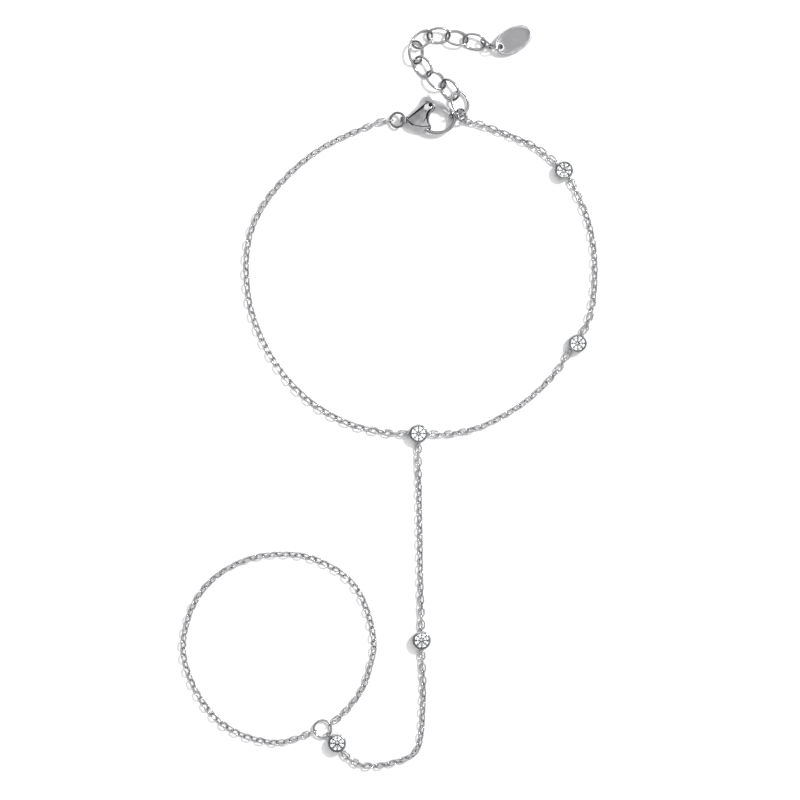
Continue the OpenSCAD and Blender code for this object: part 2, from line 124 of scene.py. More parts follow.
class SteelLooks(bpy.types.PropertyGroup):
    """Colours and polish of the steel."""

    bright: bpy.props.FloatVectorProperty(
        name="Bright steel", description="Colour of the polished steel",
        default=(0.6, 0.6, 0.61), size=3, min=0, max=1, subtype="COLOR")
    dull: bpy.props.FloatVectorProperty(
        name="Dull steel", description="Colour of the steel where fingers have dulled it",
        default=(0.43, 0.43, 0.45), size=3, min=0, max=1, subtype="COLOR")
    polish: bpy.props.FloatProperty(
        name="Roughness", description="Roughness of the polished steel",
        default=0.06, min=0, max=1, subtype="FACTOR")
    smudge: bpy.props.FloatProperty(
        name="Smudges", description="How much rougher the dulled patches are",
        default=0.1, min=0, max=1, subtype="FACTOR")


class StoneLooks(bpy.types.PropertyGroup):
    """Colour and clearness of the stones."""

    tint: bpy.props.FloatVectorProperty(
        name="Stone", description="Colour of the clear stones",
        default=(0.97, 0.98, 1.0), size=3, min=0, max=1, subtype="COLOR")
    index: bpy.props.FloatProperty(
        name="Refraction", description="Index of refraction of the stones",
        default=2.15, min=1, max=3)


class StageLooks(bpy.types.PropertyGroup):
    """Floor, lights and view."""

    floor_colour: bpy.props.FloatVectorProperty(
        name="Floor", description="Colour of the white table",
        default=(0.93, 0.93, 0.93), size=3, min=0, max=1, subtype="COLOR")
    key_power: bpy.props.FloatProperty(
        name="Main light", description="Power of the main light",
        default=2.9, min=0, unit="POWER")
    fill_power: bpy.props.FloatProperty(
        name="Second light", description="Power of the second light",
        default=0.6, min=0, unit="POWER")
    view_width: bpy.props.FloatProperty(
        name="View width", description="Width that the camera sees on the table",
        default=128 * MM, unit="LENGTH", subtype="DISTANCE")


# ---- Mesh and node helpers ----


def curve(route, steps=CURVE_STEPS):
    """A smooth curve through the route's points."""
    points = [Vector(p) for p in route]
    first = 2 * points[0] - points[1]
    last = 2 * points[-1] - points[-2]
    path = [first] + points + [last]
    out = []
    for i in range(len(points) - 1):
        a, b, c, d = path[i:i + 4]
        for k in range(steps):
            t = k / steps
            out.append(0.5 * (2 * b + (c - a) * t + (2 * a - 5 * b + 4 * c - d) * t * t
                              + (3 * b - a - 3 * c + d) * t ** 3))
    return out + [points[-1]]


def runs(points):
    """The way along a line up to each of its points."""
    out = [0.0]
    for a, b in zip(points, points[1:]):
        out.append(out[-1] + (b - a).length)
    return out


def place_at(points, at, s):
    """The point at the way s along a line."""
    s = min(max(s, 0.0), at[-1])
    i = next((k for k in range(1, len(at)) if at[k] >= s), len(at) - 1)
    share = (s - at[i - 1]) / max(at[i] - at[i - 1], 1e-12)
    return points[i - 1].lerp(points[i], share)


def oval(length, width, wire, bend_steps=10, side_steps=2):
    """Middle line of an oval link: points and outward directions."""
    bend, side = (width - wire) / 2, (length - width) / 2
    line = []
    for end in (1, -1):
        for k in range(bend_steps + 1):
            a = math.radians(-90 + 180 * k / bend_steps) + (0 if end > 0 else math.pi)
            out = Vector((math.cos(a), math.sin(a), 0))
            line.append((Vector((end * side, 0, 0)) + bend * out, out))
        for k in range(1, side_steps):
            out = Vector((0, end, 0))
            line.append((Vector((end * side * (1 - 2 * k / side_steps), end * bend, 0)), out))
    return line


def wire_round(line, r, sides):
    """Corners and faces of round wire along a closed flat line."""
    corners, faces = [], []
    for p, out in line:
        for k in range(sides):
            a = 2 * math.pi * k / sides
            corners.append(p + r * (math.cos(a) * out + math.sin(a) * Vector((0, 0, 1))))
    n = len(line)
    for i in range(n):
        for k in range(sides):
            j, m = (i + 1) % n, (k + 1) % sides
            faces.append((i * sides + k, j * sides + k, j * sides + m, i * sides + m))
    return corners, faces


def new_piece(name, corners, faces, material, body, slot):
    """A smooth mesh object that rides on a body."""
    mesh = bpy.data.meshes.new(name)
    mesh.from_pydata([tuple(c) for c in corners], [], faces)
    mesh.validate()
    mesh.shade_smooth()
    mesh.materials.append(material)
    piece = bpy.data.objects.new(name, mesh)
    bpy.context.scene.collection.objects.link(piece)
    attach(piece, body)
    return piece


def lathe(profile, turns=96):
    """Corners and faces of a profile of (radius, height) pairs turned about the Z axis.
    The profile starts and ends on the axis."""
    inner = profile[1:-1]
    corners = [Vector((0, 0, profile[0][1])), Vector((0, 0, profile[-1][1]))]
    for k in range(turns):
        a = 2 * math.pi * k / turns
        corners += [Vector((r * math.cos(a), r * math.sin(a), z)) for r, z in inner]
    n, faces = len(inner), []
    for k in range(turns):
        a, b = 2 + k * n, 2 + (k + 1) % turns * n
        faces += [(a + i, b + i, b + i + 1, a + i + 1) for i in range(n - 1)]
        faces += [(0, b, a), (1, a + n - 1, b + n - 1)]
    return corners, faces


def ring(r, wire, turns=32, sides=14):
    """Corners and faces of a ring of round wire about the Z axis."""
    steps = [2 * math.pi * k / turns for k in range(turns)]
    outs = [Vector((math.cos(a), math.sin(a), 0)) for a in steps]
    return wire_round([(r * out, out) for out in outs], wire / 2, sides)


def moved(part, matrix):
    """Corners and faces with the corners moved by a matrix."""
    corners, faces = part
    return [matrix @ c for c in corners], faces


def prism(outline, low, high):
    """Corners and faces of an upright block with the outline's (x, y) corners."""
    n = len(outline)
    corners = [Vector((*p, z)) for z in (low, high) for p in outline]
    sides = [(k, (k + 1) % n, n + (k + 1) % n, n + k) for k in range(n)]
    return corners, [tuple(range(n)), tuple(range(n, 2 * n)), *sides]


def plate(r, h):
    """The profile of a flat round plate, for lathe()."""
    return [(0, -h / 2), (r, -h / 2), (r, h / 2), (0, h / 2)]


def solid(name, corners, faces):
    """A scratch object in millimetres, with its faces turned outwards."""
    mesh = bpy.data.meshes.new(name)
    mesh.from_pydata([tuple(c) for c in corners], [], faces)
    form = bmesh.new()
    form.from_mesh(mesh)
    bmesh.ops.recalc_face_normals(form, faces=form.faces)
    form.to_mesh(mesh)
    form.free()
    thing = bpy.data.objects.new(name, mesh)
    bpy.context.scene.collection.objects.link(thing)
    return thing


def disc(name, x, y, r, h, turns=128):
    """A scratch cylinder about an upright axis, h high about the middle plane."""
    return solid(name, *moved(lathe(plate(r, h), turns), Matrix.Translation((x, y, 0))))


def change(thing, kind, **settings):
    """Adds a modifier to a scratch object and applies it."""
    modifier = thing.modifiers.new(kind.lower(), kind)
    for key, value in settings.items():
        setattr(modifier, key, value)
    bpy.context.view_layer.update()
    result = bpy.data.meshes.new_from_object(
        thing.evaluated_get(bpy.context.evaluated_depsgraph_get()))
    thing.modifiers.clear()
    thing.data = result
    if not result.polygons:
        raise RuntimeError(f"{thing.name} is empty after {kind}")


def cut(thing, tool, operation="DIFFERENCE"):
    """Cuts a scratch object with another one, or joins them. The other one is used up."""
    before = len(thing.data.polygons)
    change(thing, "BOOLEAN", object=tool, operation=operation, solver="EXACT")
    if operation != "INTERSECT" and len(thing.data.polygons) < before / 2:
        raise RuntimeError(f"{thing.name} lost most of its faces to {tool.name}")
    bpy.data.objects.remove(tool)


def finished(thing, at, material, body):
    """Turns a scratch object in millimetres about at into a piece in metres."""
    mesh = thing.data
    mesh.transform(Matrix.Scale(MM, 4) @ Matrix.Translation(at))
    mesh.materials.clear()
    mesh.materials.append(material)
    for face in mesh.polygons:
        face.material_index = 0
    mesh.shade_smooth()
    mesh.set_sharp_from_angle(angle=CREASE)
    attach(thing, body)
    return thing


def other_finish(piece, material, chosen):
    """Gives the faces of a piece that chosen(middle) picks another material. Middles are in mm."""
    piece.data.materials.append(material)
    for face in piece.data.polygons:
        if chosen(face.center / MM):
            face.material_index = len(piece.data.materials) - 1


def dress(nodes, material):
    """Gives CAD nodes a material in all their slots."""
    for name in nodes:
        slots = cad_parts[name].material_slots
        if not slots:
            raise RuntimeError(f"{name} has no material slot")
        for s in slots:
            s.material = material


class Nodes:
    """A material's node tree, with short calls to add and join nodes."""

    def __init__(self, name):
        self.material = bpy.data.materials.new(name)
        self.material.use_nodes = True
        self.tree = self.material.node_tree
        self.shader = self.tree.nodes["Principled BSDF"]

    def add(self, kind, inputs):
        """A node whose inputs are other nodes' outputs or plain values."""
        node = self.tree.nodes.new(kind)
        for key, value in inputs.items():
            if isinstance(value, bpy.types.NodeSocket):
                self.tree.links.new(value, node.inputs[key])
            else:
                node.inputs[key].default_value = value
        return node

    def link(self, socket, name):
        """Feeds the shader's input of that name."""
        self.tree.links.new(socket, self.shader.inputs[name])

    def shader_values(self, values):
        """Sets the shader's inputs that are the same all over."""
        for name, value in values.items():
            self.shader.inputs[name].default_value = value

    def noise(self, place, scale, detail, **more):
        """A noise by place, from 0 to 1."""
        inputs = {"Vector": place, "Scale": scale, "Detail": detail, **more}
        return self.add("ShaderNodeTexNoise", inputs).outputs["Fac"]

    def stretch(self, share, span, ends):
        """A number that goes from one end to the other as share goes over its span."""
        return self.add("ShaderNodeMapRange", {
            "Value": share, "From Min": span[0], "From Max": span[1],
            "To Min": ends[0], "To Max": ends[1]}).outputs["Result"]

    def tones(self, share, low, high):
        """A colour between low and high by share."""
        ramp = self.add("ShaderNodeValToRGB", {"Fac": share})
        for stop, at, colour in zip(ramp.color_ramp.elements, TONE_RANGE, (low, high)):
            stop.position, stop.color = at, (*colour, 1)
        return ramp.outputs["Color"]

    def relief(self, height, strength, depth):
        """Fine relief on the shader's surface."""
        bump = self.add("ShaderNodeBump",
                        {"Height": height, "Strength": strength, "Distance": depth})
        self.link(bump.outputs["Normal"], "Normal")


def steel(name, darken=1.0, rough=0.0, scratches=0.35, grain_turn=0.0, grain_scale=(1, 14, 3)):
    """Polished steel with soft smudges, fine scratches and a slight change of tone."""
    looks = bpy.context.scene.bracelet_steel
    n = Nodes(name)
    place = n.add("ShaderNodeTexCoord", {}).outputs["Object"]
    smudges = n.noise(place, SMUDGE_SCALE, SMUDGE_DETAIL, Roughness=SMUDGE_ROUGHNESS)
    dull, bright = ([darken * c for c in colour] for colour in (looks.dull, looks.bright))
    n.link(n.tones(smudges, dull, bright), "Base Color")
    polished = looks.polish + rough
    smudged = looks.polish + looks.smudge + rough
    n.link(n.stretch(smudges, SMUDGE_RANGE, (smudged, polished)), "Roughness")
    turned = n.add("ShaderNodeMapping", {"Vector": place, "Rotation": (0, 0, grain_turn)})
    grain = n.add("ShaderNodeMapping", {"Vector": turned.outputs["Vector"], "Scale": grain_scale})
    fine = n.noise(grain.outputs["Vector"], SCRATCH_SCALE, SCRATCH_DETAIL)
    n.relief(fine, scratches, SCRATCH_DEPTH)
    n.shader_values({"Metallic": 1})
    return n.material


def clear_stone(name):
    """A clear, bright stone with polished facets."""
    looks = bpy.context.scene.bracelet_stone
    n = Nodes(name)
    place = n.add("ShaderNodeTexCoord", {}).outputs["Object"]
    haze = n.noise(place, DUST_SCALE, DUST_DETAIL)
    n.link(n.stretch(haze, DUST_RANGE, (0.0, DUST_ROUGHNESS)), "Roughness")
    n.shader_values({"Base Color": (*looks.tint, 1), "IOR": looks.index, "Transmission Weight": 1})
    return n.material


# ---- Operators ----


class Maker:
    """What the bracelet's operators share."""

    bl_options = {"REGISTER", "UNDO"}


class BRACELET_OT_stage(Maker, bpy.types.Operator):
    """Makes the table, the lights and the camera"""

    bl_idname = "bracelet.stage"
    bl_label = "Stage"

    # The table's half side, and the fine grain of its paper
    table_half = 1.5
    paper_scale, paper_detail = 2500, 3
    paper_strength, paper_depth = 0.05, 1e-5
    table_roughness, table_gloss = 0.8, 0.1
    # The camera looks straight down on this point. Its sensor's width is in mm
    middle = (-2.96 * MM, 5.36 * MM)
    camera_height = 0.6
    sensor = 36.0
    nearest = 0.01
    # Size, azimuth, elevation and distance of the lights, in metres and degrees
    main_light = (0.07, 38, 50, 0.6)
    second_light = (0.5, 100, 48, 0.6)
    # Grey of the room by the sine of its elevation, with a dark patch where the camera stands,
    # and how it goes from the dark side of the room to the bright one
    sky_bands = ((0.0, 0.7), (0.08, 0.6), (0.14, 0.04), (0.52, 0.05), (0.62, 0.35), (0.7, 0.9),
                 (0.78, 1.5), (0.968, 1.5), (0.975, 0.08), (1.0, 0.05))
    bright_side = (0.92, -0.25, 0.0)
    side_span = (-0.6, 0.6)
    side_shades = (0.54, 1.38)

    def execute(self, context):
        looks = context.scene.bracelet_stage
        context.scene.view_settings.view_transform = "Standard"
        self.make_table(looks)
        self.make_sky(context.scene)
        self.make_light("main_light", looks.key_power, *self.main_light)
        self.make_light("second_light", looks.fill_power, *self.second_light)
        self.make_camera(looks)
        return {"FINISHED"}

    def make_table(self, looks):
        """A large flat table, white and matt as paper."""
        n = Nodes("white_table")
        place = n.add("ShaderNodeTexCoord", {}).outputs["Object"]
        n.relief(n.noise(place, self.paper_scale, self.paper_detail),
                 self.paper_strength, self.paper_depth)
        n.shader_values({"Base Color": (*looks.floor_colour, 1),
                         "Roughness": self.table_roughness,
                         "Specular IOR Level": self.table_gloss})
        h = self.table_half
        mesh = bpy.data.meshes.new("table")
        mesh.from_pydata([(-h, -h, 0), (h, -h, 0), (h, h, 0), (-h, h, 0)], [], [(0, 1, 2, 3)])
        mesh.materials.append(n.material)
        table = bpy.data.objects.new("table", mesh)
        bpy.context.scene.collection.objects.link(table)

    def make_sky(self, scene):
        """A pale room with dark walls, which the steel reflects."""
        world = bpy.data.worlds.new("room")
        world.use_nodes = True
        scene.world = world
        tree = world.node_tree
        back = tree.nodes["Background"]
        place = tree.nodes.new("ShaderNodeTexCoord")
        parts = tree.nodes.new("ShaderNodeSeparateXYZ")
        ramp = tree.nodes.new("ShaderNodeValToRGB")
        tree.links.new(place.outputs["Generated"], parts.inputs["Vector"])
        tree.links.new(parts.outputs["Z"], ramp.inputs["Fac"])
        side = tree.nodes.new("ShaderNodeVectorMath")
        side.operation = "DOT_PRODUCT"
        tree.links.new(place.outputs["Generated"], side.inputs[0])
        side.inputs[1].default_value = self.bright_side
        shade = tree.nodes.new("ShaderNodeMapRange")
        tree.links.new(side.outputs["Value"], shade.inputs["Value"])
        for socket, value in zip(("From Min", "From Max", "To Min", "To Max"),
                                 (*self.side_span, *self.side_shades)):
            shade.inputs[socket].default_value = value
        tree.links.new(ramp.outputs["Color"], back.inputs["Color"])
        tree.links.new(shade.outputs["Result"], back.inputs["Strength"])
        stops = ramp.color_ramp.elements
        for i, (at, grey) in enumerate(self.sky_bands):
            stop = stops[i] if i < 2 else stops.new(at)
            stop.position, stop.color = at, (grey, grey, grey, 1)

    def make_light(self, name, power, size, azimuth, elevation, distance):
        """A square soft light that looks at the bracelet's middle."""
        light = bpy.data.lights.new(name, "AREA")
        light.energy, light.size = power, size
        lamp = bpy.data.objects.new(name, light)
        a, e = math.radians(azimuth), math.radians(elevation)
        out = Vector((math.cos(a) * math.cos(e), math.sin(a) * math.cos(e), math.sin(e)))
        lamp.location = Vector((*self.middle, 0)) + distance * out
        lamp.rotation_euler = out.to_track_quat("Z", "Y").to_euler()
        bpy.context.scene.collection.objects.link(lamp)

    def make_camera(self, looks):
        """A camera straight above the bracelet, as the photo was taken."""
        camera = bpy.data.cameras.new("camera")
        camera.sensor_width = self.sensor
        camera.lens = self.sensor * self.camera_height / looks.view_width
        camera.clip_start = self.nearest
        view = bpy.data.objects.new("camera", camera)
        view.location = (*self.middle, self.camera_height)
        bpy.context.scene.collection.objects.link(view)
        bpy.context.scene.camera = view


class BRACELET_OT_chains(Maker, bpy.types.Operator):
    """Finishes the wrist chain and the hand chain"""

    bl_idname = "bracelet.chains"
    bl_label = "Chains"

    def execute(self, context):
        dress(CHAINS, steel("chain_finish"))
        return {"FINISHED"}


class BRACELET_OT_finger_chain(Maker, bpy.types.Operator):
    """Makes the chain round the finger, link by link"""

    bl_idname = "bracelet.finger_chain"
    bl_label = "Finger chain"

    # The links turn from upright at the ring to their full lean over this way
    lean_ramp = 8 * MM
    floor_gap = 0.02 * MM
    # Most that a link's lean strays by itself, and the start of its random draws
    sway = math.radians(4)
    seed = 7

    def route(self, sizes):
        """From inside the finger ring, round the finger, and back into the ring."""
        inner = (FINGER_RING_D - 2 * FINGER_RING_WIRE) / 2 * MM - sizes.wire / 2 - sizes.gap
        ends = []
        for turn in FINGER_RING_TURNS:
            a = math.radians(turn)
            ends.append(MM * Vector(FINGER_RING_AT) + inner * Vector((math.cos(a), math.sin(a))))
        return curve([ends[0]] + [MM * Vector(p) for p in FINGER_ROUTE] + [ends[1]])

    def execute(self, context):
        sizes = context.scene.bracelet_chain
        draws = random.Random(self.seed)
        points = self.route(sizes)
        at = runs(points)
        hook_in = (sizes.link_length - sizes.wire) / 2
        total = at[-1]
        pitch = sizes.link_length - 2 * sizes.wire - sizes.gap
        steps = 2 * round((total - 2 * hook_in) / pitch / 2)
        step = (total - 2 * hook_in) / steps
        link, quads = wire_round(oval(sizes.link_length, sizes.link_width, sizes.wire),
                                 sizes.wire / 2, sizes.sides)
        corners, faces = [], []
        for i in range(steps + 1):
            s = hook_in + i * step
            fore, aft = place_at(points, at, s + step / 2), place_at(points, at, s - step / 2)
            near = min(1, min(s, total - s) / self.lean_ramp)
            leaning = -sizes.lean * near + draws.uniform(-1, 1) * self.sway * near
            z = (self.floor_gap + sizes.wire / 2 + (sizes.link_width - sizes.wire) / 2
                 * max(math.cos(leaning), abs(math.sin(leaning))))
            turn = leaning + math.radians(90 * ((i + 1) % 2))
            middle = (fore + aft) / 2
            heading = math.atan2(fore.y - aft.y, fore.x - aft.x)
            m = (Matrix.Translation((*middle, z)) @ Matrix.Rotation(heading, 4, "Z")
                 @ Matrix.Rotation(turn, 4, "X"))
            faces += [tuple(len(corners) + c for c in q) for q in quads]
            corners += [m @ c for c in link]
        piece = new_piece("finger_links", corners, faces,
                          bpy.data.materials["chain_finish"], BRACELET, "chain_steel")
        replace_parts(piece, "finger_chain")
        return {"FINISHED"}


class BRACELET_OT_rings(Maker, bpy.types.Operator):
    """Finishes the jump rings, and makes the finger's one in its finer wire"""

    bl_idname = "bracelet.rings"
    bl_label = "Jump rings"

    turns, sides = 96, 16

    def execute(self, context):
        dress(RINGS, steel("ring_finish", darken=0.72, rough=0.03))
        dress(["clasp_ring"], steel("clasp_ring_finish", darken=0.42, rough=0.08))
        low, high = (Vector(corner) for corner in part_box("finger_ring"))
        m = Matrix.Translation((low + high) / 2) @ Matrix.Scale(MM, 4)
        loop = ring((FINGER_RING_D - FINGER_RING_WIRE) / 2, FINGER_RING_WIRE,
                    self.turns, self.sides)
        piece = new_piece("finger_jump_ring", *moved(loop, m),
                          bpy.data.materials["ring_finish"], BRACELET, "ring_steel")
        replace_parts(piece, "finger_ring")
        return {"FINISHED"}


class BRACELET_OT_extender(Maker, bpy.types.Operator):
    """Makes the extender's oval links"""

    bl_idname = "bracelet.extender"
    bl_label = "Extender"

    # In mm and degrees: place from the hook's arm, heading and lean of each link
    hook_arm = (5.6795, 50.1)
    places = ((0.94, 2.82, 109, 9), (-0.68, 4.85, 127, -28), (-2.88, 6.4, 137, 28),
              (-4.98, 8.5, 126, -27), (-6.08, 10.8, 91, 31), (-5.08, 12.9, 37, -26),
              (-2.48, 13.5, 3, 31), (0.42, 13.1, -13, -27), (3.22, 12.5, -13, 27))
    # The first link hangs in the end ring, above the table
    first_lift = 0.43
    floor_gap = 0.02
    length, width, wire = 3.95, 2.95, 0.4
    # 2 is an ellipse, and more is fuller
    roundness = 2.15
    turns, sides = 64, 14

    def oval(self):
        """Middle line of a link, as points and outward directions."""
        a, b = (self.length - self.wire) / 2, (self.width - self.wire) / 2
        line = []
        for k in range(self.turns):
            t = 2 * math.pi * k / self.turns
            c, s = math.cos(t), math.sin(t)
            line.append(Vector((a * math.copysign(abs(c) ** (2 / self.roundness), c),
                                b * math.copysign(abs(s) ** (2 / self.roundness), s), 0)))
        outs = [(line[(k + 1) % self.turns] - line[k - 1]).normalized() for k in range(self.turns)]
        return [(p, Vector((out.y, -out.x, 0))) for p, out in zip(line, outs)]

    def execute(self, context):
        material = bpy.data.materials["ring_finish"]
        link = wire_round(self.oval(), self.wire / 2, self.sides)
        for i, (x, y, heading, lean) in enumerate(self.places, 1):
            z = (self.floor_gap + self.wire / 2
                 + (self.width - self.wire) / 2 * math.sin(math.radians(abs(lean))))
            lift = self.first_lift if i == 1 else 0
            place = (self.hook_arm[0] + x, self.hook_arm[1] + y, z + lift)
            m = (Matrix.Scale(MM, 4) @ Matrix.Translation(place)
                 @ Matrix.Rotation(math.radians(heading), 4, "Z")
                 @ Matrix.Rotation(math.radians(lean), 4, "X"))
            piece = new_piece(f"extender_oval_{i}", *moved(link, m), material,
                              BRACELET, "ring_steel")
            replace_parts(piece, f"extender_link_{i}")
        return {"FINISHED"}


class BRACELET_OT_settings(Maker, bpy.types.Operator):
    """Makes the five settings, with rounded rims and soldered eyelets"""

    bl_idname = "bracelet.settings"
    bl_label = "Settings"

    # In mm: middle of each setting, and each eyelet's direction and the wire that it holds
    places = (
        ((0, 0), ((180, 0.26), (0, 0.26), (270, 0.25))),
        ((25.4, 14.4), ((225, 0.26), (66, 0.26))),
        ((23.2, 42), ((-52, 0.26), (134, 0.26))),
        ((0.5, -33), ((90, 0.25), (270, 0.25))),
        ((-13, -49.4), ((-58, 0.25), (137, 0.44))),
    )
    # Radius and height round the cup: up its outside, over its rim and down into its pit
    cup_r = 1.47
    profile = (
        (0, 0), (1.2, 0), (1.3, 0.04), (1.38, 0.14), (1.44, 0.25), (1.465, 0.36), (cup_r, 0.5),
        (cup_r, 1.56), (1.468, 1.61), (1.46, 1.64), (1.445, 1.66), (1.42, 1.673), (1.3, 1.727),
        (1.28, 1.736), (1.255, 1.744), (1.21, 1.747), (1.16, 1.741), (1.13, 1.73), (1.125, 1.72),
        (1.15, 1.71), (1.25, 1.68), (1.25, 1.56), (0.5, 0.69), (0.25, 0.385), (0, 0.385),
    )
    # Radii of the lip between the rim and the stone, which gets painted shade for the gap's
    # shadow, and the height that it starts at
    lip_r, lip_z = (1.1, 1.285), 1.5
    # The foil behind the stone lies above this height, with a middle of this radius in painted
    # shade, standing in for the stone's dark reflections
    pit_z, point_r = 0.38, 0.5
    eyelet_wire = 0.25
    eyelet_play = 0.12
    eyelet_stand_off = 0.05
    eyelet_z = 0.62

    def eyelet(self, turn, wire):
        """Corners and faces of an upright eyelet that holds a wire."""
        r = (wire + self.eyelet_wire) / 2 + self.eyelet_play
        reach = self.cup_r + self.eyelet_stand_off + wire / 2 + self.eyelet_play
        m = (Matrix.Rotation(math.radians(turn), 4, "Z")
             @ Matrix.Translation((reach, 0, self.eyelet_z))
             @ Matrix.Rotation(math.radians(90), 4, "X"))
        return moved(ring(r, self.eyelet_wire), m)

    def finish_pit(self, cup, x, y, painted_shade, foil):
        """Gives the lip painted shade, and the pit its foil with a middle of painted shade."""
        inner, outer = self.lip_r

        def out(p):
            return math.hypot(p.x - x, p.y - y)

        def in_pit(p):
            return self.pit_z < p.z < self.lip_z

        # The lip gets painted shade, standing in for the shadow in the gap round the stone
        other_finish(cup, painted_shade, lambda p: inner < out(p) < outer and p.z > self.lip_z)
        other_finish(cup, foil, lambda p: out(p) < outer and in_pit(p))
        # The pit's middle gets painted shade, standing in for dark reflections in the stone
        other_finish(cup, painted_shade, lambda p: out(p) < self.point_r and in_pit(p))

    def execute(self, context):
        polished = steel("polished_finish", scratches=0.25)
        # Nearly black steel: painted shade for the gap round the stone and for the pit's middle
        painted_shade = steel("lip_painted_shade", darken=0.12, rough=0.2)
        foil = steel("foil_finish", darken=1.32)
        for i, ((x, y), eyelets) in enumerate(self.places, 1):
            cup = solid(f"setting_{i}_cup", *lathe(self.profile))
            for turn, wire in eyelets:
                cut(cup, solid("eyelet", *self.eyelet(turn, wire)), "UNION")
            finished(cup, (x, y, 0), polished, BRACELET)
            self.finish_pit(cup, x, y, painted_shade, foil)
            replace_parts(cup, f"setting_{i}")
        return {"FINISHED"}


class BRACELET_OT_stones(Maker, bpy.types.Operator):
    """Finishes the five clear stones"""

    bl_idname = "bracelet.stones"
    bl_label = "Stones"

    def execute(self, context):
        dress(STONES, clear_stone("stone_finish"))
        return {"FINISHED"}


class BRACELET_OT_clasp(Maker, bpy.types.Operator):
    """Makes the clasp: its smooth body with the hook, and the lever on its rivet"""

    bl_idname = "bracelet.clasp"
    bl_label = "Clasp"

    # In mm, about the middle of the opening, as the solids have it
    at = (3.2, 50.1, 1.32)
    opening_r = 1.9
    bulges = (((-4.75, 0), 0.494), ((-3.705, -0.741), 0.845), ((-2.204, -1.007), 1.105),
              ((-1.748, 1.748), 1.3))
    # The domed faces and their steep flanks: radius and height about a middle, stretched
    # lengthwise, and a depth below all of the body
    dome_at, dome_stretch = (-2.3, 0.95), 1.3
    dome = ((0, 1.26), (0.3, 1.248), (0.6, 1.22), (1, 1.165), (1.5, 1.075), (1.85, 1),
            (2.02, 0.95), (2.1, 0.9), (2.18, 0.81), (2.7, 0.19), (3.3, -0.52), (3.8, -1.12))
    below = -2
    voxel, smoothing, smooth_rounds = 0.06, 0.5, 14
    # Middle of the opening in the body, and radius and height of its cutter, which flares into
    # a bright bevel
    opening_at = (0.42, 0)
    flare = ((1.9, 0.55), (2.18, 0.95), (2.2, 0.975), (2.24, 1.0), (2.5, 1.17), (2.58, 1.21),
             (2.75, 1.28), (2.75, 1.6))
    eye_at, eye_r, eye_t, eye_hole_r = -5.5, 0.65, 0.9, 0.35
    pivot = (-1.2996, 2.28)
    slot_r, slot_h, bore_r, bore_h = 1.25, 1.0, 0.32, 4
    hook_at, hook_w, hook_h = (0.5795, 0.0798), 0.62, 1.0
    # The hook's wide arc, and where it starts, narrows and ends, in degrees. 1 is an oval
    # section, and less is boxier
    hook_wide_r, hook_root, hook_turn, hook_tip = 3.2, -125, -50, 60
    hook_sides, hook_roundness = 40, 0.85
    lever_reach, lever_tip_play, lever_t = 3.1065, 0.06, 0.9
    lever_back_at, lever_back_r, lever_hub_r, lever_bore_r = (-0.817, 0.228), 2.8994, 0.8, 0.33
    # Corners of the thumb tab, about the rivet
    tab = ((-0.94, 0.76), (-0.5, 0.2), (0.42, 0.2), (0.42, 0.76), (-0.2, 1.99), (-0.34, 1.99))
    # The arm lies right of the rivet and above the opening's middle: room to spare round it
    spare_right, spare_above = 1, 7
    arm_edge, tab_edge, edge_steps = 0.16, 0.05, 4

    def blank(self):
        """The plump body before it is cut: the hull of its bulges, domed and smoothed."""
        form = bmesh.new()
        for (x, y), r in self.bulges:
            bmesh.ops.create_icosphere(form, subdivisions=5, radius=r,
                                       matrix=Matrix.Translation((x, y, 0)))
        hull = bmesh.ops.convex_hull(form, input=form.verts)
        bmesh.ops.delete(form, geom=list({*hull["geom_interior"], *hull["geom_unused"]}),
                         context="VERTS")
        mesh = bpy.data.meshes.new("clasp_shell")
        form.to_mesh(mesh)
        form.free()
        body = bpy.data.objects.new("clasp_shell", mesh)
        bpy.context.scene.collection.objects.link(body)
        profile = [*self.dome, (self.dome[-1][0], self.below), (0, self.below)]
        for side in (-1, 1):
            m = (Matrix.Translation((*self.dome_at, 0))
                 @ Matrix.Diagonal((self.dome_stretch, 1, side, 1)))
            dome = moved(lathe(profile, turns=128), m)
            cut(body, solid("dome", *dome), "INTERSECT")
        change(body, "REMESH", mode="VOXEL", voxel_size=self.voxel)
        change(body, "SMOOTH", factor=self.smoothing, iterations=self.smooth_rounds)
        return body

    def opening(self):
        """The flared cutter of the opening."""
        up = list(self.flare)
        down = [(r, -z) for r, z in reversed(up)]
        cutter = lathe([(0, down[0][1]), *down, *up, (0, up[-1][1])], turns=160)
        return solid("opening", *moved(cutter, Matrix.Translation((*self.opening_at, 0))))

    def section(self, angle):
        """A point of the hook's flat oval section: outwards and upwards."""
        flat, high = math.cos(angle), math.sin(angle)
        return (self.hook_w / 2 * math.copysign(abs(flat) ** self.hook_roundness, flat),
                self.hook_h / 2 * math.copysign(abs(high) ** self.hook_roundness, high))

    def hook(self):
        """The hook: its section along a wide arc and a narrower one."""
        turn = math.radians(self.hook_turn)
        middle = Vector(self.hook_at)
        inwards = -Vector((math.cos(turn), math.sin(turn)))
        wide = middle + (self.hook_wide_r - self.opening_r) * inwards
        line = [(wide, self.hook_wide_r, a) for a in range(self.hook_root, self.hook_turn)]
        line += [(middle, self.opening_r, a) for a in range(self.hook_turn, self.hook_tip + 1)]
        corners, sides = [], self.hook_sides
        for centre, r, angle in line:
            a = math.radians(angle)
            out = Vector((math.cos(a), math.sin(a)))
            for k in range(sides):
                reach, z = self.section(2 * math.pi * k / sides)
                corners.append(Vector((*(centre + (r + reach) * out), z)))
        last = (len(line) - 1) * sides
        faces = [(i + k, i + sides + k, i + sides + (k + 1) % sides, i + (k + 1) % sides)
                 for i in range(0, last, sides) for k in range(sides)]
        faces += [tuple(range(sides)), tuple(last + k for k in range(sides))]
        hook = solid("hook", corners, faces)
        reach = self.lever_reach + self.lever_tip_play
        cut(hook, disc("tip", *self.pivot, reach, 2 * self.hook_h))
        return hook

